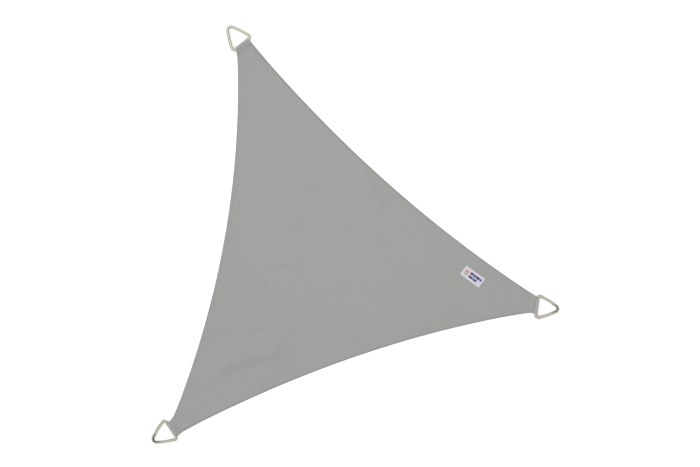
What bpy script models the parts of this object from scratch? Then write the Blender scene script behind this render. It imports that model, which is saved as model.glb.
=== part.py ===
"""A triangular shade sail, laid flat with its labelled face up.

The cloth rests on z = 0. Its bottom edge runs along +X and its top corner points towards
+Y. The origin is at the middle of the bounding box, on the surface. Sizes are in metres.
"""

import math
from collections import namedtuple

import bmesh
import bpy
from mathutils import Matrix, Vector

# The triangle between the middles of the three ring bases
BOTTOM_SIDE = 1.799
LEFT_SIDE = 1.826
RIGHT_SIDE = 1.841

# Cloth: one layer in the field and a turned, double layer along every edge
CLOTH_THICKNESS = 0.0015
HEM_THICKNESS = 0.0027
HEM_WIDTH = 0.020
HEM_ROLL = 0.002
HEM_SLANT = 1.0 / math.sin(math.radians(60.0))
TIP_INSET = 0.010
FLARE_LENGTH = 0.017

# Rings: round wire bent into a triangle with rounded corners
WIRE_RADIUS = 0.0049
RING_WIDTH = 0.1108
RING_HEIGHT = 0.1090
RING_BASE_BEND = 0.0117
RING_APEX_BEND = 0.0165
RING_SIDE_BULGE = 0.0016

# Webbing loops: a strap round each ring's base, both ends sewn under the cloth's tip
WEBBING_THICKNESS = 0.0012
WEBBING_WIDTH = 0.069
WEBBING_RADIUS = WIRE_RADIUS + 0.00036
WEBBING_MEET = 0.030
TAIL_LENGTH = 0.062

# Cloth over the webbing: it stays level a little past the tails, eases down to the surface,
# and starts to climb towards the ring a little sooner than the webbing does
TIP_MARGIN = 0.020
TIP_SIDE_MARGIN = 0.010
TIP_EASE = 0.050
TIP_CLEARANCE = 0.003

# Label sewn on the upper face, its long side along the right edge
LABEL_LENGTH = 0.107
LABEL_WIDTH = 0.050
LABEL_THICKNESS = 0.0010
LABEL_CORNER = 0.002
LABEL_PLACE = (0.663, -0.592)
LABEL_TURN = math.radians(-55.0)

# Clear space between neighbouring pieces
GAP = 0.0003

# One row a corner: where its ring points, the half widths of the cloth's cut tip on the
# ring's left and right side, and how far its loop sits to the left of the ring's middle
Corner = namedtuple("Corner", "ring_angle tip_left tip_right loop_shift")
CORNERS = {
    "top": Corner(math.radians(110.0), 0.041, 0.037, 0.002),
    "right": Corner(math.radians(-25.0), 0.048, 0.028, 0.003),
    "left": Corner(math.radians(195.5), 0.042, 0.032, 0.004),
}

# One row an edge, counter-clockwise: its two corners, how far it bows in, how much the bow
# leans to its end, and how far the cloth flares out again at its start and its end
Edge = namedtuple("Edge", "start end sag lean start_flare end_flare")
EDGES = {
    "bottom": Edge("left", "right", 0.0715, 0.0045, 0.006, 0.003),
    "right": Edge("right", "top", 0.0660, -0.0026, 0.000, 0.000),
    "left": Edge("top", "left", 0.0940, -0.0024, 0.004, 0.012),
}

# One row a fold: the two ends of its crest, its half width and its height
Fold = namedtuple("Fold", "x0 y0 x1 y1 half_width height")
FOLDS = (
    Fold(-0.680, -0.672, -0.210, -0.638, 0.075, 0.0045),
    Fold(-0.415, -0.105, -0.250, -0.390, 0.070, 0.0040),
    Fold(-0.200, -0.010, -0.010, -0.140, 0.070, 0.0035),
    Fold(-0.250, -0.228, -0.080, -0.312, 0.065, 0.0030),
    Fold(-0.100, -0.392, 0.120, -0.462, 0.070, 0.0035),
    Fold(0.265, -0.690, 0.560, -0.722, 0.065, 0.0035),
    Fold(0.290, -0.030, 0.560, -0.400, 0.075, 0.0035),
)

# Mesh fineness. The hem has four lines: the edge, its roll, and both sides of its inner step.
# The lower cut tips have one more row in their middle, and the edges two beside those tips
HEM_LINES = 4
MID_TIP = 0.047
CORNER_ROWS = [0.0, 0.012, 0.024]
FIELD_COLUMNS = 34
FIELD_ROWS = 40
WIRE_BEVEL_RESOLUTION = 4
BEND_STEPS = 10
SIDE_STEPS = 6
WEBBING_BEND_STEPS = 12

# Base colours (linear) of the four materials
CLOTH_GREY = (0.365, 0.368, 0.350, 1.0)
WEBBING_GREY = (0.340, 0.342, 0.328, 1.0)
STEEL_GREY = (0.620, 0.600, 0.550, 1.0)
LABEL_WHITE = (0.720, 0.710, 0.760, 1.0)


def clear_scene():
    """Remove every object that the file opened with."""
    for obj in list(bpy.data.objects):
        bpy.data.objects.remove(obj, do_unlink=True)


def make_material(name, colour, roughness, metallic=0.0):
    """A plain Principled material."""
    material = bpy.data.materials.new(name)
    material.use_nodes = True
    shader = material.node_tree.nodes["Principled BSDF"]
    shader.inputs["Base Color"].default_value = colour
    shader.inputs["Roughness"].default_value = roughness
    shader.inputs["Metallic"].default_value = metallic
    return material


def smooth(value):
    """Ease from 0 to 1 as value goes from 0 to 1."""
    value = min(max(value, 0.0), 1.0)
    return value * value * (3.0 - 2.0 * value)


# ---------------------------------------------------------------- plan of the triangle

def ring_axis(corner):
    """The way a corner's ring points, in plan."""
    angle = CORNERS[corner].ring_angle
    return Vector((math.cos(angle), math.sin(angle)))


def turned_left(direction):
    """A plan direction turned a quarter to the left."""
    return Vector((-direction.y, direction.x))


def ring_outline():
    """Centre line of a ring's wire in plan: base on y = 0, apex towards +Y."""
    half_width = RING_WIDTH / 2 - WIRE_RADIUS
    height = RING_HEIGHT - 2 * WIRE_RADIUS
    base = Vector((half_width - RING_BASE_BEND, RING_BASE_BEND))
    apex = Vector((0.0, height - RING_APEX_BEND))
    span = apex - base
    lean = math.asin((RING_APEX_BEND - RING_BASE_BEND) / span.length)
    side_normal = math.atan2(span.y, span.x) - math.pi / 2 - lean
    half = [Vector((0.0, 0.0))]
    for step in range(BEND_STEPS + 1):
        angle = -math.pi / 2 + (side_normal + math.pi / 2) * step / BEND_STEPS
        half.append(base + RING_BASE_BEND * Vector((math.cos(angle), math.sin(angle))))
    outward = Vector((math.cos(side_normal), math.sin(side_normal)))
    side_start = half[-1].copy()
    side_end = apex + RING_APEX_BEND * outward
    for step in range(1, SIDE_STEPS):
        along = step / SIDE_STEPS
        bulge = RING_SIDE_BULGE * math.sin(math.pi * along) ** 2
        half.append(side_start.lerp(side_end, along) + bulge * outward)
    for step in range(BEND_STEPS):
        angle = side_normal + (math.pi / 2 - side_normal) * step / BEND_STEPS
        half.append(apex + RING_APEX_BEND * Vector((math.cos(angle), math.sin(angle))))
    mirrored = [Vector((-point.x, point.y)) for point in reversed(half[1:])]
    return half + [Vector((0.0, height))] + mirrored


def triangle_corners():
    """Middles of the three ring bases, with the left one at the origin."""
    top_x = (LEFT_SIDE ** 2 + BOTTOM_SIDE ** 2 - RIGHT_SIDE ** 2) / (2 * BOTTOM_SIDE)
    top_y = math.sqrt(LEFT_SIDE ** 2 - top_x ** 2)
    return {
        "left": Vector((0.0, 0.0)),
        "right": Vector((BOTTOM_SIDE, 0.0)),
        "top": Vector((top_x, top_y)),
    }


def ring_seats():
    """Middles of the ring bases in the sail's frame, centred on the bounding box."""
    seats = triangle_corners()
    outline = ring_outline()
    points = []
    for corner, seat in seats.items():
        axis = ring_axis(corner)
        points += [seat + axis * p.y - turned_left(axis) * p.x for p in outline]
    xs = [point.x for point in points]
    ys = [point.y for point in points]
    middle = Vector(((min(xs) + max(xs)) / 2, (min(ys) + max(ys)) / 2))
    return {corner: seat - middle for corner, seat in seats.items()}


def tip_point(seat, corner, side):
    """End of the cloth's cut tip; side is 1 on the ring's left and -1 on its right."""
    row = CORNERS[corner]
    axis = ring_axis(corner)
    reach = row.tip_left if side > 0 else row.tip_right
    return seat - axis * TIP_INSET + turned_left(axis) * reach * side


def edge_point(seats, name, along):
    """Point on a bowed edge, from its start (0) to its end (1)."""
    edge = EDGES[name]
    start = tip_point(seats[edge.start], edge.start, 1)
    end = tip_point(seats[edge.end], edge.end, -1)
    chord = end - start
    from_start = along * chord.length
    from_end = (1.0 - along) * chord.length
    bow = 4.0 * along * (1.0 - along) * (edge.sag + edge.lean * (2.0 * along - 1.0))
    bow += edge.start_flare * ((1.0 - along) - math.exp(-from_start / FLARE_LENGTH))
    bow += edge.end_flare * (along - math.exp(-from_end / FLARE_LENGTH))
    return start + chord * along + turned_left(chord.normalized()) * bow


# ------------------------------------------------------------------------ the cloth

def hem_stations(length, steps, slant=1.0):
    """Fractions of a line across the cloth, with the hem's own steps at both ends."""
    roll = HEM_ROLL * slant / length
    hem = HEM_WIDTH * slant / length
    ends = [0.0, roll, hem, hem + roll]
    inner = [hem + roll + (1 - 2 * (hem + roll)) * i / steps for i in range(1, steps)]
    return ends + inner + [1.0 - value for value in reversed(ends)]


def cut_tip_ends(seats, corner):
    """Lower and upper end of the cut tip at the left or the right corner."""
    ring_left = tip_point(seats[corner], corner, 1)
    ring_right = tip_point(seats[corner], corner, -1)
    return (ring_left, ring_right) if corner == "left" else (ring_right, ring_left)


def sheet_rows(seats):
    """Both ends of every row of the sheet, and the row's share of the way to the top."""
    rows = []
    ends = [cut_tip_ends(seats, corner) for corner in ("left", "right")]
    for distance in (0.0, HEM_ROLL, HEM_WIDTH, HEM_WIDTH + HEM_ROLL, MID_TIP):
        points = [low.lerp(high, distance / (high - low).length) for low, high in ends]
        rows.append((*points, 0.0))
    stations = hem_stations(LEFT_SIDE, FIELD_ROWS)
    for along in CORNER_ROWS + stations[HEM_LINES:]:
        start = edge_point(seats, "left", 1.0 - along)
        end = edge_point(seats, "right", along)
        rows.append((start, end, along))
    return rows


def fold_height(point):
    """Height of the cloth's soft folds at a plan point."""
    height = 0.0
    for fold in FOLDS:
        start = Vector((fold.x0, fold.y0))
        crest = Vector((fold.x1, fold.y1)) - start
        along = min(max((point - start).dot(crest) / crest.length_squared, 0.0), 1.0)
        distance = (point - start - crest * along).length
        height += fold.height * smooth(1.0 - distance / fold.half_width)
    return height


def tip_height(seats, point):
    """How far the cloth is lifted by the webbing under its three tips."""
    tails_top = 2 * WEBBING_THICKNESS + 3 * GAP
    slope = math.tan(webbing_slope())
    half_width = WEBBING_WIDTH / 2
    highest = 0.0
    for corner, seat in seats.items():
        axis = ring_axis(corner)
        inward = -(point - seat).dot(axis)
        across = abs((point - seat).dot(turned_left(axis)) - CORNERS[corner].loop_shift)
        past_tails = smooth((inward - TAIL_LENGTH - TIP_MARGIN) / TIP_EASE)
        beside_tails = smooth((across - half_width - TIP_SIDE_MARGIN) / TIP_EASE)
        on_tails = tails_top * (1.0 - past_tails) * (1.0 - beside_tails)
        up_to_ring = slope * max(WEBBING_MEET + TIP_CLEARANCE - inward, 0.0)
        highest = max(highest, on_tails + up_to_ring)
    return highest


def make_cloth(seats, material):
    """The sail's one sheet, with its bowed edges, double hem, folds and lifted tips."""
    rows = sheet_rows(seats)
    last_row = len(rows) - 1
    last_column = FIELD_COLUMNS + 2 * HEM_LINES - 2
    bottom_start, bottom_end, _ = rows[0]
    mesh_data = bmesh.new()
    bmesh.ops.create_grid(mesh_data, x_segments=last_column, y_segments=last_row, size=0.5)
    weight_layer = mesh_data.verts.layers.deform.verify()
    for vert in mesh_data.verts:
        column = round((vert.co.x + 0.5) * last_column)
        row = round((vert.co.y + 0.5) * last_row)
        start, end, share = rows[row]
        slant = HEM_SLANT if share > 0.0 else 1.0
        across = hem_stations((end - start).length, FIELD_COLUMNS, slant)[column]
        bow = edge_point(seats, "bottom", across) - bottom_start.lerp(bottom_end, across)
        point = start.lerp(end, across) + bow * (1.0 - share) ** 2
        vert.co = (point.x, point.y, fold_height(point) + tip_height(seats, point))
        from_edge = min(column, last_column - column, row, last_row - row)
        in_hem = from_edge < HEM_LINES - 1
        vert[weight_layer][0] = 1.0 if in_hem else CLOTH_THICKNESS / HEM_THICKNESS
    mesh = bpy.data.meshes.new("sail_cloth")
    mesh_data.to_mesh(mesh)
    mesh_data.free()
    cloth = bpy.data.objects.new("sail_cloth", mesh)
    cloth.vertex_groups.new(name="thickness")
    mesh.materials.append(material)
    mesh.shade_smooth()
    shell = cloth.modifiers.new("thickness", "SOLIDIFY")
    shell.thickness = HEM_THICKNESS
    shell.offset = 1.0
    shell.vertex_group = "thickness"
    return cloth


# ------------------------------------------------------------------ rings and loops

def wire_height():
    """Height of a ring's base wire, which lies on the lower layer of its loop."""
    return WEBBING_THICKNESS + WEBBING_RADIUS


def webbing_slope():
    """Slope at which the loop's upper layer comes down from the wire."""
    reach = Vector((WEBBING_MEET, wire_height() - WEBBING_THICKNESS - GAP))
    drop = math.atan2(reach.y, reach.x)
    return drop + math.asin(WEBBING_RADIUS / reach.length)


def make_ring(corner, seat, material):
    """A closed ring of round wire, its base in the loop and its apex on the surface."""
    name = "ring_" + corner
    curve = bpy.data.curves.new(name, "CURVE")
    curve.dimensions = "3D"
    curve.bevel_depth = WIRE_RADIUS
    curve.bevel_resolution = WIRE_BEVEL_RESOLUTION
    outline = ring_outline()
    spline = curve.splines.new("POLY")
    spline.points.add(len(outline) - 1)
    for control, point in zip(spline.points, outline):
        control.co = (point.x, point.y, 0.0, 1.0)
    spline.use_cyclic_u = True
    spline.use_smooth = True
    curve.materials.append(material)
    ring = bpy.data.objects.new(name, curve)
    rise = wire_height() - WIRE_RADIUS
    tilt = math.asin(rise / (RING_HEIGHT - 2 * WIRE_RADIUS))
    turn = CORNERS[corner].ring_angle - math.pi / 2
    ring.location = (seat.x, seat.y, wire_height())
    ring.rotation_euler = (-tilt, 0.0, turn)
    return ring


def webbing_profile():
    """Inner face of a loop in section: lower tail, round the wire, upper tail."""
    centre = Vector((0.0, wire_height()))
    upper = WEBBING_THICKNESS + GAP
    points = [Vector((-TAIL_LENGTH, WEBBING_THICKNESS)), Vector((-WEBBING_MEET, WEBBING_THICKNESS))]
    last = math.pi / 2 + webbing_slope()
    for step in range(WEBBING_BEND_STEPS + 1):
        angle = -math.pi / 2 + (last + math.pi / 2) * step / WEBBING_BEND_STEPS
        points.append(centre + WEBBING_RADIUS * Vector((math.cos(angle), math.sin(angle))))
    return points + [Vector((-WEBBING_MEET, upper)), Vector((-TAIL_LENGTH, upper))]


def make_loop(corner, seat, material):
    """A strap folded round the ring's base wire."""
    name = "corner_loop_" + corner
    profile = webbing_profile()
    steps = len(profile) - 1
    mesh_data = bmesh.new()
    bmesh.ops.create_grid(mesh_data, x_segments=steps, y_segments=1, size=0.5)
    shift = CORNERS[corner].loop_shift
    for vert in mesh_data.verts:
        place = profile[round((vert.co.x + 0.5) * steps)]
        vert.co = (place.x, vert.co.y * WEBBING_WIDTH + shift, place.y)
    mesh = bpy.data.meshes.new(name)
    mesh_data.to_mesh(mesh)
    mesh_data.free()
    mesh.materials.append(material)
    loop = bpy.data.objects.new(name, mesh)
    shell = loop.modifiers.new("thickness", "SOLIDIFY")
    shell.thickness = WEBBING_THICKNESS
    shell.offset = -1.0
    shell.use_even_offset = True
    loop.location = (seat.x, seat.y, 0.0)
    loop.rotation_euler = (0.0, 0.0, CORNERS[corner].ring_angle)
    return loop


# ------------------------------------------------------------------------- the label

def make_label(material):
    """A thin patch with softened corners on the cloth's upper face."""
    mesh_data = bmesh.new()
    bmesh.ops.create_cube(mesh_data, size=1.0)
    scale = Matrix.Diagonal((LABEL_LENGTH, LABEL_WIDTH, LABEL_THICKNESS, 1.0))
    bmesh.ops.transform(mesh_data, matrix=scale, verts=mesh_data.verts)
    upright = [e for e in mesh_data.edges if abs(e.verts[0].co.z - e.verts[1].co.z) > 0]
    bmesh.ops.bevel(mesh_data, geom=upright, offset=LABEL_CORNER, segments=3, profile=0.5,
                    affect="EDGES")
    mesh = bpy.data.meshes.new("label_patch")
    mesh_data.to_mesh(mesh)
    mesh_data.free()
    mesh.materials.append(material)
    label = bpy.data.objects.new("label_patch", mesh)
    label.location = (*LABEL_PLACE, CLOTH_THICKNESS + GAP + LABEL_THICKNESS / 2)
    label.rotation_euler = (0.0, 0.0, LABEL_TURN)
    return label


def build():
    """Make the sail and gather its pieces under one empty."""
    clear_scene()
    cloth_grey = make_material("shade_cloth", CLOTH_GREY, 0.9)
    webbing_grey = make_material("webbing", WEBBING_GREY, 0.85)
    steel = make_material("stainless_steel", STEEL_GREY, 0.22, metallic=1.0)
    label_white = make_material("label_cloth", LABEL_WHITE, 0.6)

    seats = ring_seats()
    pieces = [make_cloth(seats, cloth_grey), make_label(label_white)]
    for corner, seat in seats.items():
        pieces.append(make_ring(corner, seat, steel))
        pieces.append(make_loop(corner, seat, webbing_grey))

    collection = bpy.data.collections.new("shade_sail")
    bpy.context.scene.collection.children.link(collection)
    root = bpy.data.objects.new("shade_sail_frame", None)
    collection.objects.link(root)
    for piece in pieces:
        collection.objects.link(piece)
        piece.parent = root


build()
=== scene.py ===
"""Looks of a triangular shade sail that lies flat, labelled face up, on a pale floor.

The sheet, loops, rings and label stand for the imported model's solids and keep their places,
and the stitching is added to them. Sizes are in metres, in the model's frame: +Z up, +X along
the bottom edge, +Y towards the top corner.
"""

import math
from collections import namedtuple

import bmesh
import bpy
import numpy as np
from mathutils import Matrix, Vector, noise
from mathutils.bvhtree import BVHTree


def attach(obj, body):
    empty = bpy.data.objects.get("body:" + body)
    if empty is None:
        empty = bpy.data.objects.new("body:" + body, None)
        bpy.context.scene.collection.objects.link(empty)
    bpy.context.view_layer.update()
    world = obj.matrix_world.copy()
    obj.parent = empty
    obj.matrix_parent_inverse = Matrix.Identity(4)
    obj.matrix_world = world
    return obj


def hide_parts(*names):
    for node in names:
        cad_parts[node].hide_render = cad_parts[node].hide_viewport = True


# ------------------------------------------------------------------- the sail's sizes

# The triangle between the middles of the three ring bases
BOTTOM_SIDE = 1.799
LEFT_SIDE = 1.826
RIGHT_SIDE = 1.841

# Cloth: one layer in the field and a turned, double layer along every edge. The hem eases
# into the field, and its outer shoulder rounds down to a lip, a share of its thickness
CLOTH_THICKNESS = 0.0015
HEM_THICKNESS = 0.0027
HEM_WIDTH = 0.020
HEM_EASE = 0.045
HEM_SHOULDER = 0.0090
HEM_LIP = 0.4
TIP_INSET = 0.010
FLARE_LENGTH = 0.017

# Rings: round wire bent into a triangle with rounded corners
WIRE_RADIUS = 0.0049
RING_WIDTH = 0.1108
RING_HEIGHT = 0.1090
RING_BASE_BEND = 0.0117
RING_APEX_BEND = 0.0165
RING_SIDE_BULGE = 0.0016

# Steps of each bend and side of a ring's outline, in the model and in the wire that shows
MODEL_RING_STEPS = (10, 6)
RING_STEPS = (24, 20)

# Webbing loops: a strap round each ring's base, both ends sewn under the cloth's tip
WEBBING_THICKNESS = 0.0012
WEBBING_WIDTH = 0.069
WEBBING_RADIUS = WIRE_RADIUS + 0.00036
WEBBING_MEET = 0.030
TAIL_LENGTH = 0.062

# Cloth over the webbing: level a little past the tails, easing down to the surface beyond
# them, climbing to the ring after a soft bend, and pressed thinner at its cut tip
TIP_MARGIN = 0.020
TIP_SIDE_MARGIN = 0.010
TIP_EASE = 0.050
TIP_CLEARANCE = 0.008
TIP_BEND = 0.010
TIP_PRESSING = 0.0010
TIP_PRESS_REACH = 0.030

# The cloth's colour is painted darker, as shade on its rounded hem, this far in from its long
# edges, but not this near to a cut tip
PAINTED_SHADE_REACH = 0.010
TIP_PAINTED_SHADE_REACH = 0.014

# Label sewn on the upper face, its long side along the right edge
LABEL_LENGTH = 0.107
LABEL_WIDTH = 0.050
LABEL_PLACE = (0.663, -0.592)
LABEL_TURN = math.radians(-55.0)

# Clear space between neighbouring pieces
GAP = 0.0003

# One row a corner: where its ring points, the half widths of the cloth's cut tip on the
# ring's left and right side, and how far its loop sits to the left of the ring's middle
Corner = namedtuple("Corner", "ring_angle tip_left tip_right loop_shift")
CORNERS = {
    "top": Corner(math.radians(110.0), 0.041, 0.037, 0.002),
    "right": Corner(math.radians(-25.0), 0.048, 0.028, 0.003),
    "left": Corner(math.radians(195.5), 0.042, 0.032, 0.004),
}

# One row an edge, counter-clockwise: its two corners, how far it bows in, how much the bow
# leans to its end, and how far the cloth flares out again at its start and its end
Edge = namedtuple("Edge", "start end sag lean start_flare end_flare")
EDGES = {
    "bottom": Edge("left", "right", 0.0715, 0.0045, 0.006, 0.003),
    "right": Edge("right", "top", 0.0660, -0.0026, 0.000, 0.000),
    "left": Edge("top", "left", 0.0940, -0.0024, 0.004, 0.012),
}

# One row a fold: the two ends of its crest from left to right in the photograph, how far it
# falls away on the left and on the right of its crest, and its height. The longer ones follow
# the model's own folds, and the rest are small creases
Fold = namedtuple("Fold", "x0 y0 x1 y1 left right height")
FOLDS = (
    Fold(-0.735, -0.670, -0.500, -0.594, 0.100, 0.052, 0.0052),
    Fold(-0.640, -0.616, -0.235, -0.634, 0.120, 0.052, 0.0068),
    Fold(-0.385, -0.600, -0.164, -0.526, 0.090, 0.075, 0.0022),
    Fold(-0.399, -0.170, -0.249, -0.368, 0.026, 0.045, 0.0050),
    Fold(-0.222, -0.229, -0.072, -0.294, 0.048, 0.030, 0.0052),
    Fold(-0.147, -0.357, 0.112, -0.464, 0.040, 0.030, 0.0032),
    Fold(-0.181, -0.002, 0.009, -0.124, 0.065, 0.045, 0.0056),
    Fold(0.293, 0.076, 0.400, -0.215, 0.052, 0.095, 0.0048),
    Fold(0.370, -0.150, 0.600, -0.440, 0.048, 0.080, 0.0048),
    Fold(-0.379, -0.359, -0.301, -0.419, 0.034, 0.022, 0.0026),
    Fold(-0.603, -0.411, -0.485, -0.485, 0.042, 0.026, 0.0034),
    Fold(-0.510, -0.480, -0.326, -0.509, 0.040, 0.026, 0.0024),
    Fold(0.145, -0.603, 0.240, -0.584, 0.032, 0.022, 0.0026),
    Fold(0.215, -0.585, 0.310, -0.614, 0.032, 0.022, 0.0026),
    Fold(0.258, -0.700, 0.402, -0.758, 0.040, 0.026, 0.0075),
    Fold(0.475, -0.676, 0.555, -0.738, 0.034, 0.024, 0.0026),
    Fold(-0.041, -0.686, 0.073, -0.700, 0.034, 0.022, 0.0016),
    Fold(0.085, -0.157, 0.195, -0.223, 0.028, 0.024, 0.0022),
    Fold(0.259, -0.286, 0.340, -0.319, 0.026, 0.022, 0.0022),
    Fold(-0.034, 0.525, 0.102, 0.460, 0.034, 0.022, 0.0020),
    Fold(0.028, 0.082, 0.135, 0.040, 0.038, 0.026, 0.0026),
    Fold(-0.127, 0.232, 0.044, 0.155, 0.060, 0.034, 0.0026),
    Fold(-0.171, 0.105, -0.078, 0.051, 0.034, 0.022, 0.0022),
    Fold(-0.090, 0.420, -0.046, 0.280, 0.030, 0.022, 0.0020),
    Fold(-0.146, -0.435, 0.043, -0.531, 0.050, 0.034, 0.0026),
)

# The share of a fold over which each end tapers off, and how far its crest strays
FOLD_TAPER = 0.3
FOLD_WANDER = 0.018
FOLD_WANDER_SCALE = 11.0

# Grid lines of the cloth: these distances from an edge cross the hem, and steps that widen a
# little inwards fill the rest of a row
HEM_LINES = (0.0, 0.00015, 0.0005, 0.0010, 0.0018, 0.0032, 0.0046, 0.0060, 0.0085, 0.0115,
             0.0145, 0.0162, 0.0175, 0.0188, 0.0200, 0.0208)
FIELD_STEPS = 78
FIELD_EASE = 1.2

# Rows of the grid, up the lower cut tips and then up the long sides. The sides soon cross the
# rows at about 60 degrees, and they meet the top tip some 25 degrees off square
TIP_STEPS = 6
EDGE_STEPS = 188
SIDE_SLANT = 1.0 / math.sin(math.radians(60.0))
TOP_SLANT = 1.0 / math.cos(math.radians(25.0))
SLANT_EASE = 0.03

# Steps of each edge where the cloth's cut size is worked out
OUTLINE_STEPS = 200

# Hem relief: two rows of stitching press the layers together, and the cloth puffs up between
# them and puckers
STITCH_ROWS = (0.0046, 0.0175)
GROOVE_WIDTH = 0.0022
GROOVE_DEPTH = 0.0006
PUFF_HEIGHT = 0.0006
PUCKER_HEIGHT = 0.0009
PUCKER_SCALE = 38.0
PUCKER_FADE = 0.015

# Faint ripples all over the cloth
RIPPLE_HEIGHT = 0.0011
RIPPLE_SCALE = 3.6

# Where each relief reads the noise, so that no two are alike
RIPPLE_LEVEL = 0.7
PUCKER_LEVEL = 3.1
WANDER_LEVEL = 5.3


def smooth(value):
    """Ease from 0 to 1 as value goes from 0 to 1."""
    value = min(max(value, 0.0), 1.0)
    return value * value * (3.0 - 2.0 * value)


def noise_at(point, level, scale):
    """Smooth noise between -1 and 1 at a plan point."""
    return noise.noise(Vector((point.x, point.y, level)) * scale)


# -------------------------------------------------------------- plan of the triangle

def ring_axis(corner):
    """The way a corner's ring points, in plan."""
    angle = CORNERS[corner].ring_angle
    return Vector((math.cos(angle), math.sin(angle)))


def turned_left(direction):
    """A plan direction turned a quarter to the left."""
    return Vector((-direction.y, direction.x))


def ring_outline(bend_steps, side_steps):
    """Centre line of a ring's wire in plan: base on y = 0, apex towards +Y."""
    half_width = RING_WIDTH / 2 - WIRE_RADIUS
    height = RING_HEIGHT - 2 * WIRE_RADIUS
    base = Vector((half_width - RING_BASE_BEND, RING_BASE_BEND))
    apex = Vector((0.0, height - RING_APEX_BEND))
    span = apex - base
    lean = math.asin((RING_APEX_BEND - RING_BASE_BEND) / span.length)
    side_normal = math.atan2(span.y, span.x) - math.pi / 2 - lean
    half = [Vector((base.x * step / side_steps, 0.0)) for step in range(side_steps)]
    for step in range(bend_steps + 1):
        angle = -math.pi / 2 + (side_normal + math.pi / 2) * step / bend_steps
        half.append(base + RING_BASE_BEND * Vector((math.cos(angle), math.sin(angle))))
    outward = Vector((math.cos(side_normal), math.sin(side_normal)))
    side_start = half[-1].copy()
    side_end = apex + RING_APEX_BEND * outward
    for step in range(1, side_steps):
        along = step / side_steps
        bulge = RING_SIDE_BULGE * math.sin(math.pi * along) ** 2
        half.append(side_start.lerp(side_end, along) + bulge * outward)
    for step in range(bend_steps):
        angle = side_normal + (math.pi / 2 - side_normal) * step / bend_steps
        half.append(apex + RING_APEX_BEND * Vector((math.cos(angle), math.sin(angle))))
    mirrored = [Vector((-point.x, point.y)) for point in reversed(half[1:])]
    return half + [Vector((0.0, height))] + mirrored


def ring_seats():
    """Middles of the ring bases in the sail's frame, centred on the bounding box."""
    top_x = (LEFT_SIDE ** 2 + BOTTOM_SIDE ** 2 - RIGHT_SIDE ** 2) / (2 * BOTTOM_SIDE)
    top_y = math.sqrt(LEFT_SIDE ** 2 - top_x ** 2)
    seats = {
        "left": Vector((0.0, 0.0)),
        "right": Vector((BOTTOM_SIDE, 0.0)),
        "top": Vector((top_x, top_y)),
    }
    outline = ring_outline(*MODEL_RING_STEPS)
    points = []
    for corner, seat in seats.items():
        axis = ring_axis(corner)
        points += [seat + axis * point.y - turned_left(axis) * point.x for point in outline]
    xs = [point.x for point in points]
    ys = [point.y for point in points]
    middle = Vector(((min(xs) + max(xs)) / 2, (min(ys) + max(ys)) / 2))
    return {corner: seat - middle for corner, seat in seats.items()}


SEATS = ring_seats()


def tip_point(corner, side):
    """End of the cloth's cut tip; side is 1 on the ring's left and -1 on its right."""
    row = CORNERS[corner]
    axis = ring_axis(corner)
    reach = row.tip_left if side > 0 else row.tip_right
    return SEATS[corner] - axis * TIP_INSET + turned_left(axis) * reach * side


def edge_point(name, along):
    """Point on a bowed edge, from its start (0) to its end (1)."""
    edge = EDGES[name]
    start = tip_point(edge.start, 1)
    end = tip_point(edge.end, -1)
    chord = end - start
    from_start = along * chord.length
    from_end = (1.0 - along) * chord.length
    bow = 4.0 * along * (1.0 - along) * (edge.sag + edge.lean * (2.0 * along - 1.0))
    bow += edge.start_flare * ((1.0 - along) - math.exp(-from_start / FLARE_LENGTH))
    bow += edge.end_flare * (along - math.exp(-from_end / FLARE_LENGTH))
    return start + chord * along + turned_left(chord.normalized()) * bow


# ------------------------------------------------------------------------ mesh helpers

def new_object(name, data):
    """Add an object to the scene."""
    added = bpy.data.objects.new(name, data)
    bpy.context.scene.collection.objects.link(added)
    return added


def mesh_from(name, data):
    """The mesh of a bmesh, which it frees."""
    mesh = bpy.data.meshes.new(name)
    data.to_mesh(mesh)
    data.free()
    return mesh


def closed_sheet(name, columns, rows, place):
    """A closed sheet of columns x rows cells. place(column, row) gives a point's upper and
    lower position, its texture coordinates along the cloth and its distance from the sheet's
    edge, all in metres."""
    data = bmesh.new()
    from_edge = data.verts.layers.float.new("from_edge")
    bmesh.ops.create_grid(data, x_segments=columns, y_segments=rows, size=0.5)
    grown = bmesh.ops.extrude_face_region(data, geom=list(data.faces), use_keep_orig=True)
    upper = {item for item in grown["geom"] if isinstance(item, bmesh.types.BMVert)}
    places = {}
    coordinates = {}
    for vert in data.verts:
        spot = (round((vert.co.x + 0.5) * columns), round((vert.co.y + 0.5) * rows))
        if spot not in places:
            places[spot] = place(*spot)
        top, bottom, coordinates[vert], vert[from_edge] = places[spot]
        vert.co = top if vert in upper else bottom
    layer = data.loops.layers.uv.new("cloth")
    for face in data.faces:
        for loop in face.loops:
            loop[layer].uv = coordinates[loop.vert]
    bmesh.ops.recalc_face_normals(data, faces=data.faces)
    mesh = mesh_from(name, data)
    mesh.shade_smooth()
    return new_object(name, mesh)


def joined_copies(name, shape, matrices):
    """One mesh of a small closed shape repeated at every matrix."""
    verts = np.array([vert.co[:] + (1.0,) for vert in shape.vertices])
    placed = [(verts @ np.array(matrix).T)[:, :3] for matrix in matrices]
    faces = [list(face.vertices) for face in shape.polygons]
    joined = []
    for copy in range(len(matrices)):
        offset = copy * len(verts)
        joined += [[index + offset for index in face] for face in faces]
    mesh = bpy.data.meshes.new(name)
    mesh.from_pydata(np.concatenate(placed).tolist(), [], joined)
    mesh.shade_smooth()
    return new_object(name, mesh)


def surface_heights(piece, above=True):
    """A function for the height of a piece at a plan point, met from above or from below."""
    polygons = [tuple(polygon.vertices) for polygon in piece.data.polygons]
    tree = BVHTree.FromPolygons([vert.co for vert in piece.data.vertices], polygons)
    side = 1.0 if above else -1.0

    def height(point):
        return tree.ray_cast(Vector((*point, side)), Vector((0.0, 0.0, -side)))[0].z

    return height


# --------------------------------------------------------------------------- the cloth

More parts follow.
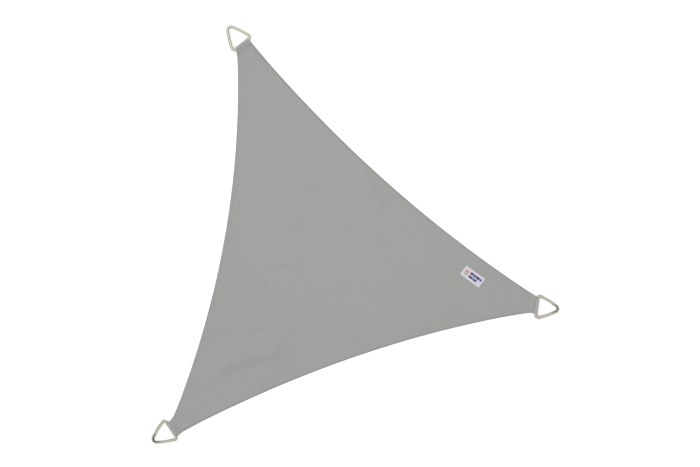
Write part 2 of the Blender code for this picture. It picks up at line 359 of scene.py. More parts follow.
def fold_height(point):
    """Height of the folds, creases and faint ripples at a plan point."""
    height = 0.0
    wander = FOLD_WANDER * noise_at(point, WANDER_LEVEL, FOLD_WANDER_SCALE)
    for fold in FOLDS:
        run, rise = fold.x1 - fold.x0, fold.y1 - fold.y0
        x, y = point.x - fold.x0, point.y - fold.y0
        length = math.hypot(run, rise)
        along = (x * run + y * rise) / (length * length)
        if not 0.0 < along < 1.0:
            continue
        to_left = (y * run - x * rise) / length + wander
        width = fold.left if to_left > 0.0 else fold.right
        if abs(to_left) < width:
            taper = smooth(min(along, 1.0 - along) / FOLD_TAPER)
            height += fold.height * taper * smooth(1.0 - abs(to_left) / width)
    ripple = noise_at(point, RIPPLE_LEVEL, RIPPLE_SCALE)
    return height + RIPPLE_HEIGHT * max(ripple, 0.0)


def webbing_slope():
    """Angle at which a loop's upper layer comes down from the wire."""
    reach = Vector((WEBBING_MEET, WEBBING_RADIUS - GAP))
    drop = math.atan2(reach.y, reach.x)
    return drop + math.asin(WEBBING_RADIUS / reach.length)


def ramp(distance):
    """Rise of a ramp of slope 1 that starts with a soft bend."""
    if distance <= 0.0:
        return 0.0
    if distance < TIP_BEND:
        return distance * distance / (2 * TIP_BEND)
    return distance - TIP_BEND / 2


def tip_height(point):
    """How far the cloth is lifted by the webbing under its three tips."""
    tails_top = 2 * WEBBING_THICKNESS + 3 * GAP
    slope = math.tan(webbing_slope())
    highest = 0.0
    for corner, seat in SEATS.items():
        axis = ring_axis(corner)
        inward = -(point - seat).dot(axis)
        across = abs((point - seat).dot(turned_left(axis)) - CORNERS[corner].loop_shift)
        past_tails = smooth((inward - TAIL_LENGTH - TIP_MARGIN) / TIP_EASE)
        beside_tails = smooth((across - WEBBING_WIDTH / 2 - TIP_SIDE_MARGIN) / TIP_EASE)
        on_tails = tails_top * (1.0 - past_tails) * (1.0 - beside_tails)
        up_to_ring = slope * ramp(WEBBING_MEET + TIP_CLEARANCE - inward)
        highest = max(highest, on_tails + up_to_ring)
    return highest


def nearness_to_tip(point, reach):
    """1 at a cut tip, falling to 0 at this reach from it."""
    inward = min(-(point - seat).dot(ring_axis(corner)) for corner, seat in SEATS.items())
    return smooth(1.0 - (inward - TIP_INSET) / reach)


def cloth_heights(point, distance):
    """Upper and lower height of the cloth at a plan point, this distance from its edge."""
    base = fold_height(point) + tip_height(point)
    thick = HEM_THICKNESS - TIP_PRESSING * nearness_to_tip(point, TIP_PRESS_REACH)
    lip = HEM_LIP * thick
    shoulder = max(1.0 - distance / HEM_SHOULDER, 0.0)
    underturn = max(1.0 - distance / lip, 0.0)
    groove = sum(
        GROOVE_DEPTH * (1.0 - smooth(abs(distance - row) / GROOVE_WIDTH)) for row in STITCH_ROWS
    )
    between = (distance - STITCH_ROWS[0]) / (STITCH_ROWS[1] - STITCH_ROWS[0])
    puff = PUFF_HEIGHT * math.sin(math.pi * min(max(between, 0.0), 1.0))
    in_hem = 1.0 - smooth((distance - HEM_WIDTH) / PUCKER_FADE)
    pucker = PUCKER_HEIGHT * noise_at(point, PUCKER_LEVEL, PUCKER_SCALE)
    past_hem = smooth((distance - HEM_WIDTH) / HEM_EASE)
    upper = thick + (CLOTH_THICKNESS - HEM_THICKNESS) * past_hem
    upper += puff - groove + max(pucker, -PUCKER_HEIGHT / 2) * in_hem * (1.0 - shoulder)
    upper -= (thick - lip) * (1.0 - math.sqrt(1.0 - shoulder * shoulder))
    if distance <= HEM_WIDTH:
        lower = lip * (1.0 - math.sqrt(1.0 - underturn * underturn)) + groove
    else:
        lower = (HEM_THICKNESS - CLOTH_THICKNESS) * (1.0 - past_hem)
    return base + upper, base + lower


def across_lines(length, slant):
    """Places of the grid's lines along a row, and their distances from the nearer side."""
    hem = [line * slant for line in HEM_LINES]
    rest = length / 2 - hem[-1]
    half = hem + [
        hem[-1] + rest * (step / FIELD_STEPS) ** FIELD_EASE for step in range(1, FIELD_STEPS + 1)
    ]
    places = half + [length - place for place in reversed(half[:-1])]
    distances = [min(place, length - place) / slant for place in places]
    return places, distances


def cut_tip_ends(corner):
    """Lower and upper end of the cut tip at the left or the right corner."""
    ring_left = tip_point(corner, 1)
    ring_right = tip_point(corner, -1)
    return (ring_left, ring_right) if corner == "left" else (ring_right, ring_left)


Row = namedtuple("Row", "start end share distance slant")


def sheet_rows():
    """The rows of the cloth's grid: both ends, share of the way to the top, distance from
    the bottom edge or the top tip, and how aslant the long edges cross the row."""
    rows = []
    ends = [cut_tip_ends(corner) for corner in ("left", "right")]
    widths = [(high - low).length for low, high in ends]
    for line in HEM_LINES:
        points = [low.lerp(high, line / width) for (low, high), width in zip(ends, widths)]
        rows.append(Row(*points, 0.0, line, 1.0))
    for step in range(1, TIP_STEPS):
        points = []
        for (low, high), width in zip(ends, widths):
            along = HEM_LINES[-1] + (width - HEM_LINES[-1]) * step / TIP_STEPS
            points.append(low.lerp(high, along / width))
        rows.append(Row(*points, 0.0, min(widths), 1.0))
    length = (LEFT_SIDE + RIGHT_SIDE) / 2
    hem = [line * TOP_SLANT / length for line in HEM_LINES]
    stations = [(1.0 - hem[-1]) * step / EDGE_STEPS for step in range(EDGE_STEPS + 1)]
    stations += [1.0 - line for line in reversed(hem[:-1])]
    for along in stations:
        slant = 1.0 + (SIDE_SLANT - 1.0) * smooth(along / SLANT_EASE)
        start = edge_point("left", 1.0 - along)
        end = edge_point("right", along)
        rows.append(Row(start, end, along, (1.0 - along) * length / TOP_SLANT, slant))
    return rows


def make_cloth():
    """The sail's one sheet, hem and all."""
    rows = sheet_rows()
    lines = [across_lines((row.end - row.start).length, row.slant) for row in rows]
    low_start, low_end = rows[0].start, rows[0].end

    def place(column, row_number):
        row = rows[row_number]
        places, distances = lines[row_number]
        across = places[column] / places[-1]
        bow = edge_point("bottom", across) - low_start.lerp(low_end, across)
        point = row.start.lerp(row.end, across) + bow * (1.0 - row.share) ** 2
        distance = min(distances[column], row.distance)
        upper, lower = cloth_heights(point, distance)
        # Near a cut tip the distance grows, so the painted edge shade stays off the tip
        unshaded = PAINTED_SHADE_REACH * nearness_to_tip(point, TIP_PAINTED_SHADE_REACH)
        return (*point, upper), (*point, lower), point, distance + unshaded

    columns = len(lines[0][0]) - 1
    return closed_sheet("cloth_sheet", columns, len(rows) - 1, place)


def cut_cloth():
    """Flat size that the sail's cloth is cut to, with the strip turned under as its hem:
    its extent each way, and its area."""
    stations = [step / OUTLINE_STEPS for step in range(OUTLINE_STEPS + 1)]
    outline = [edge_point(name, along) for name in EDGES for along in stations]
    sides = list(zip(outline, outline[1:] + outline[:1]))
    plan_area = sum(a.x * b.y - b.x * a.y for a, b in sides) / 2
    hem_area = HEM_WIDTH * sum((b - a).length for a, b in sides)
    width = max(point.x for point in outline) - min(point.x for point in outline)
    length = max(point.y for point in outline) - min(point.y for point in outline)
    return (width + 2 * HEM_WIDTH, length + 2 * HEM_WIDTH), plan_area + hem_area


# ---------------------------------------------------------------------------- stitches

Stitch = namedtuple("Stitch", "length pitch radius")
HEM_STITCH = Stitch(0.0048, 0.0058, 0.00058)
LABEL_STITCH = Stitch(0.0026, 0.0034, 0.00025)

# How high a thread's middle lies over the upper and the lower face, in thread radii
UPPER_RISE = 0.45
LOWER_RISE = 0.55

# Lines of stitching along an edge: steps, and the share of the edge that each looks ahead for
# the edge's direction
HEM_LINE_STEPS = 220
HEM_LINE_AHEAD = 0.002

# The crossed box on each tip: both ends, in from the ring's base, and its half width
BOX_NEAR = 0.036
BOX_FAR = 0.057
BOX_HALF_WIDTH = 0.020


def stitch_shape(stitch):
    """One stitch: a short thread, thick in the middle, lying along +X."""
    data = bmesh.new()
    size = Matrix.Diagonal((stitch.length / 2, stitch.radius, stitch.radius, 1.0))
    turn = Matrix.Rotation(math.pi / 2, 4, "Y")
    bmesh.ops.create_uvsphere(data, u_segments=6, v_segments=4, radius=1.0, matrix=size @ turn)
    return mesh_from("stitch", data)


def stitch_matrices(points, heights, stitch=HEM_STITCH):
    """Stitches laid end to end along a plan line; heights(point) gives the thread's height."""
    matrices = []
    carried = stitch.pitch / 2
    for start, end in zip(points, points[1:]):
        length = (end - start).length
        direction = (end - start).normalized()
        while carried < length:
            middle = start + direction * carried
            ahead = middle + direction * stitch.length / 2
            behind = middle - direction * stitch.length / 2
            rise = heights(ahead) - heights(behind)
            along = Vector((*(direction * stitch.length), rise)).normalized()
            side = Vector((*turned_left(direction), 0.0))
            up = along.cross(side)
            turn = Matrix((along, side, up)).transposed().to_4x4()
            matrices.append(Matrix.Translation((*middle, heights(middle))) @ turn)
            carried += stitch.pitch
        carried -= length
    return matrices


def hem_line(name, inset):
    """Plan line along an edge, inset from it, clear of the tips' own hems."""
    points = []
    for step in range(HEM_LINE_STEPS + 1):
        along = step / HEM_LINE_STEPS
        here = edge_point(name, along)
        ahead = edge_point(name, min(along + HEM_LINE_AHEAD, 1.0))
        behind = edge_point(name, max(along - HEM_LINE_AHEAD, 0.0))
        points.append(here + turned_left((ahead - behind).normalized()) * inset)
    length = sum((b - a).length for a, b in zip(points, points[1:]))
    margin = max(1, round(inset / length * HEM_LINE_STEPS))
    return points[margin:len(points) - margin]


def tip_line(corner, inset):
    """Plan line along a cut tip, inset from it."""
    axis = ring_axis(corner)
    start = tip_point(corner, -1)
    end = tip_point(corner, 1)
    along = (end - start).normalized()
    return [start - axis * inset + along * inset, end - axis * inset - along * inset]


def thread_heights(surface, rise):
    """A function for the height of a thread's middle over a surface."""
    return lambda point: surface(point) + rise * HEM_STITCH.radius


def make_hem_stitches(cloth):
    """Both rows of hem stitching, on the upper and on the lower face."""
    shape = stitch_shape(HEM_STITCH)
    pieces = []
    for face, rise in (("upper", UPPER_RISE), ("lower", LOWER_RISE)):
        heights = thread_heights(surface_heights(cloth, above=face == "upper"), rise)
        matrices = []
        for inset in STITCH_ROWS:
            for name in EDGES:
                matrices += stitch_matrices(hem_line(name, inset), heights)
            for corner in CORNERS:
                matrices += stitch_matrices(tip_line(corner, inset), heights)
        pieces.append(joined_copies("hem_stitches_" + face, shape, matrices))
    return pieces


def make_corner_stitches(cloth):
    """A crossed box of stitching on top of the cloth and under the tails of each loop."""
    upper = thread_heights(surface_heights(cloth), UPPER_RISE)
    lower = thread_heights(lambda point: 0.0, LOWER_RISE)
    matrices = []
    for corner, seat in SEATS.items():
        axis = ring_axis(corner)
        side = turned_left(axis)
        near, far = seat - axis * BOX_NEAR, seat - axis * BOX_FAR
        left = side * (CORNERS[corner].loop_shift + BOX_HALF_WIDTH)
        right = side * (CORNERS[corner].loop_shift - BOX_HALF_WIDTH)
        for heights in (upper, lower):
            box = [near + left, near + right, far + right, far + left, near + left]
            matrices += stitch_matrices(box, heights)
            matrices += stitch_matrices([near + left, far + right], heights)
            matrices += stitch_matrices([near + right, far + left], heights)
    return joined_copies("corner_stitches", stitch_shape(HEM_STITCH), matrices)


# --------------------------------------------------------------------- rings and loops

WIRE_BEVEL_RESOLUTION = 10

# Steps of a loop along each tail, round the wire, down from it, and across its width
LOOP_TAIL_STEPS = 16
LOOP_BEND_STEPS = 28
LOOP_SLOPE_STEPS = 14
LOOP_WIDTH_STEPS = 26

# A loop's sides thin out over this width, to this share of its thickness
SELVEDGE = 0.0008
SELVEDGE_SHARE = 0.45


def wire_height():
    """Height of a ring's base wire, which lies on the lower layer of its loop."""
    return WEBBING_THICKNESS + WEBBING_RADIUS


def make_ring(corner):
    """A smooth closed ring of round wire."""
    name = "wire_ring_" + corner
    outline = ring_outline(*RING_STEPS)
    curve = bpy.data.curves.new(name, "CURVE")
    curve.dimensions = "3D"
    curve.bevel_depth = WIRE_RADIUS
    curve.bevel_resolution = WIRE_BEVEL_RESOLUTION
    spline = curve.splines.new("POLY")
    spline.points.add(len(outline) - 1)
    for control, point in zip(spline.points, outline):
        control.co = (point.x, point.y, 0.0, 1.0)
    spline.use_cyclic_u = True
    spline.use_smooth = True
    ring = new_object(name, curve)
    rise = wire_height() - WIRE_RADIUS
    tilt = math.asin(rise / (RING_HEIGHT - 2 * WIRE_RADIUS))
    seat = SEATS[corner]
    ring.location = (seat.x, seat.y, wire_height())
    ring.rotation_euler = (-tilt, 0.0, CORNERS[corner].ring_angle - math.pi / 2)
    return ring


def webbing_path():
    """Inner face of a loop in section: lower tail, round the wire, upper tail."""
    centre = Vector((0.0, wire_height()))
    lower = WEBBING_THICKNESS
    upper = WEBBING_THICKNESS + GAP
    last = math.pi / 2 + webbing_slope()
    points = []
    for step in range(LOOP_TAIL_STEPS):
        points.append(Vector((-TAIL_LENGTH * (1.0 - step / LOOP_TAIL_STEPS), lower)))
    for step in range(LOOP_BEND_STEPS + 1):
        angle = -math.pi / 2 + (last + math.pi / 2) * step / LOOP_BEND_STEPS
        points.append(centre + WEBBING_RADIUS * Vector((math.cos(angle), math.sin(angle))))
    leave = points[-1]
    for step in range(1, LOOP_SLOPE_STEPS):
        points.append(leave.lerp(Vector((-WEBBING_MEET, upper)), step / LOOP_SLOPE_STEPS))
    for step in range(LOOP_TAIL_STEPS + 1):
        reach = WEBBING_MEET + (TAIL_LENGTH - WEBBING_MEET) * step / LOOP_TAIL_STEPS
        points.append(Vector((-reach, upper)))
    return points


def make_loop(corner):
    """A strap with soft selvedges, folded round the ring's base wire."""
    path = webbing_path()
    shift = CORNERS[corner].loop_shift
    runs = [0.0]
    for start, end in zip(path, path[1:]):
        runs.append(runs[-1] + (end - start).length)

    def place(column, row):
        here = path[column]
        ahead = path[min(column + 1, len(path) - 1)]
        behind = path[max(column - 1, 0)]
        tangent = (ahead - behind).normalized()
        outward = Vector((tangent.y, -tangent.x))
        across = (row / LOOP_WIDTH_STEPS - 0.5) * WEBBING_WIDTH
        from_side = WEBBING_WIDTH / 2 - abs(across)
        full = smooth(from_side / SELVEDGE)
        thick = WEBBING_THICKNESS * (SELVEDGE_SHARE + (1.0 - SELVEDGE_SHARE) * full)
        inner = here + outward * (WEBBING_THICKNESS - thick) / 2
        outer = inner + outward * thick
        y = across + shift
        return (outer.x, y, outer.y), (inner.x, y, inner.y), (across, runs[column]), from_side

    loop = closed_sheet("webbing_loop_" + corner, len(path) - 1, LOOP_WIDTH_STEPS, place)
    seat = SEATS[corner]
    loop.location = (seat.x, seat.y, 0.0)
    loop.rotation_euler = (0.0, 0.0, CORNERS[corner].ring_angle)
    return loop


# --------------------------------------------------------------------------- the label

LABEL_COLUMNS = 84
LABEL_ROWS = 40
LABEL_THICKNESS = 0.0008

# Its folded rim's width, its seam's distance from the edge and that seam's width. Rim and
# seam lie lower than the rest by a share of its thickness
LABEL_RIM_WIDTH = 0.0014
LABEL_RIM_DROP = 0.5
LABEL_SEAM = 0.0026
LABEL_SEAM_WIDTH = 0.0014
LABEL_SEAM_DROP = 0.35


def on_label(x, y):
    """Plan point of the sail under a point of the label."""
    spot = Matrix.Rotation(LABEL_TURN, 2) @ Vector((x, y))
    return Vector(LABEL_PLACE) + spot


def label_drop(inside):
    """How far the label's upper face lies lower at its folded rim and along its seam."""
    rim = LABEL_RIM_DROP * (1.0 - smooth(inside / LABEL_RIM_WIDTH))
    seam = LABEL_SEAM_DROP * (1.0 - smooth(abs(inside - LABEL_SEAM) / LABEL_SEAM_WIDTH))
    return LABEL_THICKNESS * (rim + seam)


def make_label(cloth):
    """A thin sewn patch that follows the cloth, with a folded rim and a seam inside it."""
    surface = surface_heights(cloth)

    def place(column, row):
        x = (column / LABEL_COLUMNS - 0.5) * LABEL_LENGTH
        y = (row / LABEL_ROWS - 0.5) * LABEL_WIDTH
        inside = min(LABEL_LENGTH / 2 - abs(x), LABEL_WIDTH / 2 - abs(y))
        point = on_label(x, y)
        lower = surface(point) + GAP
        upper = lower + LABEL_THICKNESS - label_drop(inside)
        return (*point, upper), (*point, lower), (x, y), inside

    return closed_sheet("label_cloth_patch", LABEL_COLUMNS, LABEL_ROWS, place)


def make_label_stitches(label):
    """The seam round the label."""
    half_length = LABEL_LENGTH / 2 - LABEL_SEAM
    half_width = LABEL_WIDTH / 2 - LABEL_SEAM
    corners = [(-1, -1), (1, -1), (1, 1), (-1, 1), (-1, -1)]
    seam = [on_label(x * half_length, y * half_width) for x, y in corners]
    matrices = stitch_matrices(seam, surface_heights(label), LABEL_STITCH)
    return joined_copies("label_stitches", stitch_shape(LABEL_STITCH), matrices)


# --------------------------------------------------------------------------- materials

# Colours are linear. Each pair runs from the gaps to the crests of the yarn or thread; on the
# knitted cloth and the webbing the darker gaps are painted shade between the yarns
CLOTH_COLOURS = ((0.259, 0.260, 0.2515, 1.0), (0.338, 0.339, 0.3285, 1.0))
WEBBING_COLOURS = ((0.285, 0.286, 0.276, 1.0), (0.385, 0.386, 0.373, 1.0))
HEM_THREAD_COLOURS = ((0.36, 0.36, 0.35, 1.0), (0.50, 0.50, 0.48, 1.0))
LABEL_THREAD_COLOURS = ((0.50, 0.49, 0.62, 1.0), (0.66, 0.65, 0.76, 1.0))

# One row a knit or weave: the spacing of its columns and of its rows, how many rows the two
# sides of a V stitch climb, and the depth of its relief
Knit = namedtuple("Knit", "wale course slant relief")
CLOTH_KNIT = Knit(0.0031, 0.0040, 0.6, 0.00035)
WEBBING_WEAVE = Knit(0.0024, 0.0018, 1.0, 0.0003)
LABEL_WEAVE = Knit(0.0007, 0.0007, 0.0, 0.00008)

# Share of a knit's height that rises and falls along its columns; the rest does across them
KNIT_ROW_SHARE = 0.45

# Polished steel: its tint, how bright each ring's reflections are painted, and how dark its
# painted reflection and shade is. That painted dark comes in over these distances from the
# ring's base and as the wire turns towards the eye
STEEL_TINT = (0.62, 0.59, 0.435)
STEEL_ROUGHNESS = 0.05
MARK_ROUGHNESS = 0.10
PAINTED_REFLECTION_COLOUR = (0.045, 0.040, 0.025, 1.0)
PAINTED_REFLECTION_PLACES = (0.068, 0.084)
PAINTED_REFLECTION_FACINGS = (0.25, -0.35)
RingLook = namedtuple("RingLook", "polish stain")
# Each ring's steel is painted lighter or darker for how bright its reflections read
RING_LOOKS = {
    "top": RingLook(1.16, 0.0),
    "right": RingLook(0.95, 1.0),
    "left": RingLook(0.92, 1.0),
}

# The label's plain rim, its ground, which is smaller by both margins, and bars of colour on
# it, one row a bar: its middle, its size and its colour
LABEL_RIM_COLOUR = (0.59, 0.585, 0.61, 1.0)
LABEL_GROUND = (0.515, 0.490, 0.625, 1.0)
LABEL_MARGINS = 0.009
NAVY = (0.040, 0.042, 0.100, 1.0)
ORANGE = (0.62, 0.20, 0.07, 1.0)
GREEN = (0.20, 0.36, 0.14, 1.0)
Bar = namedtuple("Bar", "x y width height colour")
LABEL_BARS = (
    Bar(0.0, 0.0, LABEL_LENGTH - LABEL_MARGINS, LABEL_WIDTH - LABEL_MARGINS, LABEL_GROUND),
    Bar(-0.0090, 0.0080, 0.0160, 0.0120, NAVY),
    Bar(0.0065, 0.0080, 0.0110, 0.0120, NAVY),
    Bar(0.0245, 0.0080, 0.0210, 0.0120, NAVY),
    Bar(0.0410, 0.0080, 0.0080, 0.0120, NAVY),
    Bar(-0.0050, -0.0085, 0.0240, 0.0100, NAVY),
    Bar(0.0180, -0.0085, 0.0180, 0.0100, NAVY),
    Bar(-0.0340, 0.0040, 0.0180, 0.0130, ORANGE),
    Bar(-0.0340, -0.0090, 0.0180, 0.0060, GREEN),
)


def new_material(name, **values):
    """A node material with these shader inputs; returns it with its node tree and shader."""
    material = bpy.data.materials.new(name)
    material.use_nodes = True
    tree = material.node_tree
    shader = tree.nodes["Principled BSDF"]
    for key, value in values.items():
        shader.inputs[key.replace("_", " ")].default_value = value
    return material, tree, shader


def node(tree, kind, **values):
    """Add a node; values set its properties or, where it has none such, its inputs."""
    added = tree.nodes.new(kind)
    for key, value in values.items():
        if hasattr(added, key):
            setattr(added, key, value)
        else:
            added.inputs[key.replace("_", " ")].default_value = value
    return added


def feed(tree, socket, value):
    """Link an input to another socket, or set it to a plain value."""
    if isinstance(value, bpy.types.NodeSocket):
        tree.links.new(value, socket)
    else:
        socket.default_value = value


def math_node(tree, operation, *values):
    """Add a Math node on sockets or numbers and return its output."""
    added = node(tree, "ShaderNodeMath", operation=operation)
    for socket, value in zip(added.inputs, values):
        feed(tree, socket, value)
    return added.outputs[0]


def mixed(tree, factor, first, second, blend="MIX"):
    """Mix two colours, each a socket or a plain colour."""
    added = node(tree, "ShaderNodeMix", data_type="RGBA", blend_type=blend)
    for name, value in (("Factor", factor), ("A", first), ("B", second)):
        feed(tree, added.inputs[name], value)
    return added.outputs["Result"]


def eased(tree, value, start, end, low=0.0, high=1.0):
    """Ease from low to high as a value goes from start to end."""
    added = node(tree, "ShaderNodeMapRange", interpolation_type="SMOOTHSTEP")
    settings = {"Value": value, "From Min": start, "From Max": end, "To Min": low, "To Max": high}
    for name, setting in settings.items():
        feed(tree, added.inputs[name], setting)
    return added.outputs["Result"]


def parts_of(tree, vector):
    """The outputs X, Y and Z of a vector."""
    split = tree.nodes.new("ShaderNodeSeparateXYZ")
    tree.links.new(vector, split.inputs[0])
    return split.outputs


def noise_share(tree, place, **values):
    """Noise at a place, 0 to 1."""
    added = node(tree, "ShaderNodeTexNoise", **values)
    tree.links.new(place, added.inputs["Vector"])
    return added.outputs["Fac"]


def texture_axes(tree):
    """X and Y of the sheet's own texture coordinates in metres, and the place on the object."""
    source = tree.nodes.new("ShaderNodeTexCoord")
    axes = parts_of(tree, source.outputs["UV"])
    return axes["X"], axes["Y"], source.outputs["Object"]


def knit_height(tree, x, y, knit):
    """Height of a knit, 0 to 1: chains of V stitches side by side."""
    column = math_node(tree, "FRACT", math_node(tree, "DIVIDE", x, knit.wale))
    side = math_node(tree, "ABSOLUTE", math_node(tree, "SUBTRACT", column, 0.5))
    side = math_node(tree, "MULTIPLY", side, 2.0)
    rib = math_node(tree, "SUBTRACT", 1.0, math_node(tree, "MULTIPLY", side, side))
    lift = math_node(tree, "MULTIPLY", side, knit.slant)
    turn = math_node(tree, "ADD", math_node(tree, "DIVIDE", y, knit.course), lift)
    wave = math_node(tree, "SINE", math_node(tree, "MULTIPLY", turn, 2 * math.pi))
    wave = math_node(tree, "MULTIPLY_ADD", wave, 0.5, 0.5)
    rib = math_node(tree, "MULTIPLY", rib, 1.0 - KNIT_ROW_SHARE)
    return math_node(tree, "MULTIPLY_ADD", wave, KNIT_ROW_SHARE, rib)


def painted_edge_shade(tree, reach, loss):
    """Painted shade: a factor that falls by loss over the last stretch before the sheet's edge.
    """
    distance = node(tree, "ShaderNodeAttribute", attribute_name="from_edge").outputs["Fac"]
    share = math_node(tree, "MINIMUM", math_node(tree, "DIVIDE", distance, reach), 1.0)
    return math_node(tree, "MULTIPLY_ADD", share, loss, 1.0 - loss)


def cloud_shade(tree, place, scale, share):
    """A factor that swings softly by share either way."""
    cloud = noise_share(tree, place, Scale=scale, Detail=3.0, Roughness=0.55)
    return math_node(tree, "MULTIPLY_ADD", cloud, 2 * share, 1.0 - share)


def painted_light_falloff(tree, place, middle, near, far, loss):
    """Painted light: a factor that falls by loss between two distances from a middle."""
    away = node(tree, "ShaderNodeVectorMath", operation="DISTANCE")
    feed(tree, away.inputs[0], place)
    feed(tree, away.inputs[1], middle)
    return eased(tree, away.outputs["Value"], near, far, 1.0, 1.0 - loss)


def tint(tree, shader, height, colours, *shades):
    """Colour a shader from the gaps' colour to the crests', times every shade."""
    total = shades[0]
    for shade in shades[1:]:
        total = math_node(tree, "MULTIPLY", total, shade)
    colour = mixed(tree, 1.0, mixed(tree, height, *colours), total, blend="MULTIPLY")
    tree.links.new(colour, shader.inputs["Base Color"])


def add_bump(tree, shader, height, distance):
    """Relief from a height of 0 to 1 over distance."""
    bump = node(tree, "ShaderNodeBump", Strength=1.0, Distance=distance)
    tree.links.new(height, bump.inputs["Height"])
    tree.links.new(bump.outputs["Normal"], shader.inputs["Normal"])


def cloth_material():
    """Knitted warm-grey shade cloth with painted edge shade and painted light round a middle."""
    material, tree, shader = new_material(
        "knitted_cloth", Roughness=0.82, Specular_IOR_Level=0.25, Sheen_Weight=0.05
    )
    x, y, place = texture_axes(tree)
    height = knit_height(tree, x, y, CLOTH_KNIT)
    cloud = cloud_shade(tree, place, scale=9.0, share=0.02)
    edge = painted_edge_shade(tree, reach=PAINTED_SHADE_REACH, loss=0.24)
    painted_falloff = painted_light_falloff(tree, place, middle=(0.38, 0.05, 0.0), near=0.40, far=1.15, loss=0.038)
    tint(tree, shader, height, CLOTH_COLOURS, cloud, edge, painted_falloff)
    add_bump(tree, shader, height, CLOTH_KNIT.relief)
    return material


def webbing_material():
    """Grey woven webbing with a fine rib across it."""
    material, tree, shader = new_material(
        "woven_webbing", Roughness=0.75, Specular_IOR_Level=0.3
    )
    x, y, place = texture_axes(tree)
    height = knit_height(tree, x, y, WEBBING_WEAVE)
    cloud = cloud_shade(tree, place, scale=30.0, share=0.03)
    # Painted shade, darker towards the strap's selvedges
    edge = painted_edge_shade(tree, reach=0.002, loss=0.12)
    tint(tree, shader, height, WEBBING_COLOURS, cloud, edge)
    add_bump(tree, shader, height, WEBBING_WEAVE.relief)
    return material


def thread_material(name, colours):
    """Twisted sewing thread."""
    material, tree, shader = new_material(name, Roughness=0.6)
    place = tree.nodes.new("ShaderNodeTexCoord").outputs["Object"]
    twist = noise_share(tree, place, Scale=900.0, Detail=1.0)
    tint(tree, shader, twist, colours, cloud_shade(tree, place, scale=40.0, share=0.05))
    return material


def steel_material(corner):
    """Polished stainless wire with fine marks and a painted dark reflection inside the outer
    bend.
    """
    look = RING_LOOKS[corner]
    material, tree, shader = new_material("polished_wire_" + corner, Metallic=1.0)
    source = tree.nodes.new("ShaderNodeTexCoord")
    place = source.outputs["Object"]
    at_apex = eased(tree, parts_of(tree, place)["Y"], *PAINTED_REFLECTION_PLACES)
    to_eye = eased(tree, parts_of(tree, source.outputs["Normal"])["Y"], *PAINTED_REFLECTION_FACINGS)
    stain = math_node(tree, "MULTIPLY", math_node(tree, "MULTIPLY", at_apex, to_eye), look.stain)
    polish = [look.polish * level for level in STEEL_TINT] + [1.0]
    tree.links.new(mixed(tree, stain, polish, PAINTED_REFLECTION_COLOUR), shader.inputs["Base Color"])
    marks = noise_share(tree, place, Scale=260.0, Detail=3.0, Roughness=0.6)
    rough = math_node(tree, "MULTIPLY_ADD", marks, MARK_ROUGHNESS, STEEL_ROUGHNESS)
    tree.links.new(rough, shader.inputs["Roughness"])
    return material


def label_material():
    """Smooth pale label cloth with plain bars of colour."""
    material, tree, shader = new_material("label_print", Roughness=0.55)
    x, y, _ = texture_axes(tree)
    colour = LABEL_RIM_COLOUR
    for bar in LABEL_BARS:
        masks = []
        for axis, middle, size in ((x, bar.x, bar.width), (y, bar.y, bar.height)):
            off = math_node(tree, "ABSOLUTE", math_node(tree, "SUBTRACT", axis, middle))
            masks.append(math_node(tree, "LESS_THAN", off, size / 2))
        colour = mixed(tree, math_node(tree, "MULTIPLY", *masks), colour, bar.colour)
    tree.links.new(colour, shader.inputs["Base Color"])
    add_bump(tree, shader, knit_height(tree, x, y, LABEL_WEAVE), LABEL_WEAVE.relief)
    return material


# -------------------------------------------------------------- floor, light and camera

# The floor lies just below the threads under the sail
FLOOR_SIZE = 20.0
FLOOR_HEIGHT = -0.0002

# Brightness of the surroundings overhead, at the horizon and below it, and a far soft lamp
STUDIO_ZENITH = 1.27
STUDIO_HORIZON = 0.45
STUDIO_BELOW = 0.05
STUDIO_RISE = 1.2
HORIZON_BLUR = 0.06
KEY_PLACE = (-9.5, 9.0, 11.5)
KEY_SIZE = 16.0
KEY_POWER = 1350.0

# Camera: straight above, turned so that the bottom edge climbs to the right
VIEW_TURN = math.radians(-18.5)
VIEW_CENTRE = (0.1843, -0.2198)
VIEW_WIDTH = 3.267
LENS = 100.0
SENSOR = 36.0


def make_floor():
    """A pale floor that runs far past the sail."""
    data = bmesh.new()
    bmesh.ops.create_grid(data, x_segments=1, y_segments=1, size=FLOOR_SIZE)
    floor = new_object("floor", mesh_from("floor", data))
    floor.location.z = FLOOR_HEIGHT
    floor.visible_glossy = False
    paint, _, _ = new_material(
        "floor_paint", Base_Color=(0.97, 0.97, 0.97, 1.0), Roughness=0.9, Specular_IOR_Level=0.0
    )
    floor.data.materials.append(paint)


def make_surroundings():
    """A studio that is bright overhead, dimmer at the horizon and dark below it."""
    world = bpy.data.worlds.new("studio")
    bpy.context.scene.world = world
    world.use_nodes = True
    tree = world.node_tree
    direction = tree.nodes.new("ShaderNodeTexCoord").outputs["Generated"]
    up = parts_of(tree, direction)["Z"]
    rise = math_node(tree, "POWER", math_node(tree, "MAXIMUM", up, 0.0), STUDIO_RISE)
    low = eased(tree, up, -HORIZON_BLUR, HORIZON_BLUR, STUDIO_BELOW, STUDIO_HORIZON)
    strength = math_node(tree, "MULTIPLY_ADD", rise, STUDIO_ZENITH - STUDIO_HORIZON, low)
    background = tree.nodes["Background"]
    background.inputs["Color"].default_value = (1.0, 1.0, 1.0, 1.0)
    tree.links.new(strength, background.inputs["Strength"])


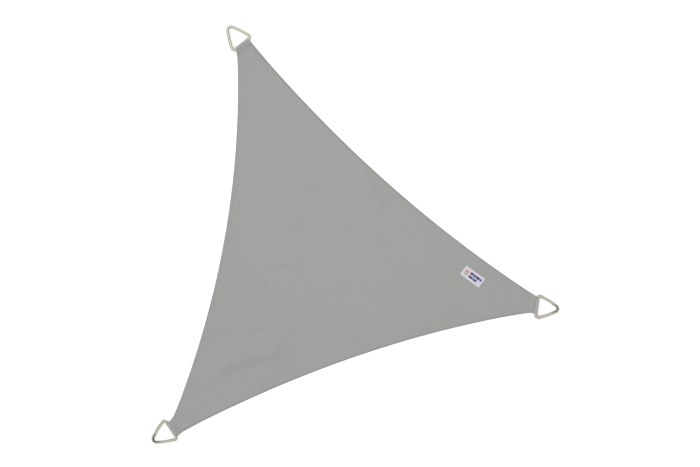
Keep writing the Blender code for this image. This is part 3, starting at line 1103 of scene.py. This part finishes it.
def make_key_light():
    """One large, far, soft light from the upper left."""
    lamp = bpy.data.lights.new("key", "AREA")
    lamp.shape = "DISK"
    lamp.size = KEY_SIZE
    lamp.energy = KEY_POWER
    key = new_object("key", lamp)
    key.location = KEY_PLACE
    key.rotation_euler = (-key.location).to_track_quat("-Z", "Y").to_euler()
    key.visible_glossy = False


def make_camera():
    """Straight above the sail, with the photograph's turn and framing."""
    camera_data = bpy.data.cameras.new("camera")
    camera_data.lens = LENS
    camera_data.sensor_width = SENSOR
    camera_data.clip_end = 100.0
    camera = new_object("camera", camera_data)
    camera.location = (*VIEW_CENTRE, VIEW_WIDTH * LENS / SENSOR)
    camera.rotation_euler = (0.0, 0.0, VIEW_TURN)
    bpy.context.scene.camera = camera


# --------------------------------------------------------------------------- the scene

def add_piece(piece, material, node_name=None):
    """Give a piece its material, attach it to the root and hide the model's node it stands for.
    """
    piece.data.materials.clear()
    piece.data.materials.append(material)
    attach(piece, "root")
    if node_name:
        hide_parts(node_name)


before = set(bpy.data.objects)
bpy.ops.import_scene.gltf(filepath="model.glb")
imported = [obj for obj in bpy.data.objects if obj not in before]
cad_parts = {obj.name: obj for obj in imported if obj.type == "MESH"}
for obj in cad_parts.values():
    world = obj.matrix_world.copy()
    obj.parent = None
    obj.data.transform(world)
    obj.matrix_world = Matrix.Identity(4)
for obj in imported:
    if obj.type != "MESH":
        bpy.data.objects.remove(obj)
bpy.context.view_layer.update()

make_camera()
make_surroundings()
make_key_light()
make_floor()
bpy.context.scene.view_settings.view_transform = "Standard"

webbing_look = webbing_material()
hem_thread = thread_material("hem_thread", HEM_THREAD_COLOURS)
label_thread = thread_material("label_thread", LABEL_THREAD_COLOURS)

cloth = make_cloth()
add_piece(cloth, cloth_material(), "sail_cloth")
for stitches in (*make_hem_stitches(cloth), make_corner_stitches(cloth)):
    add_piece(stitches, hem_thread)
for corner in CORNERS:
    add_piece(make_ring(corner), steel_material(corner), "ring_" + corner)
    loop = make_loop(corner)
    add_piece(loop, webbing_look, "corner_loop_" + corner)
label = make_label(cloth)
add_piece(label, label_material(), "label_patch")
add_piece(make_label_stitches(label), label_thread)

cut_size, cut_area = cut_cloth()

bpy.context.view_layer.update()
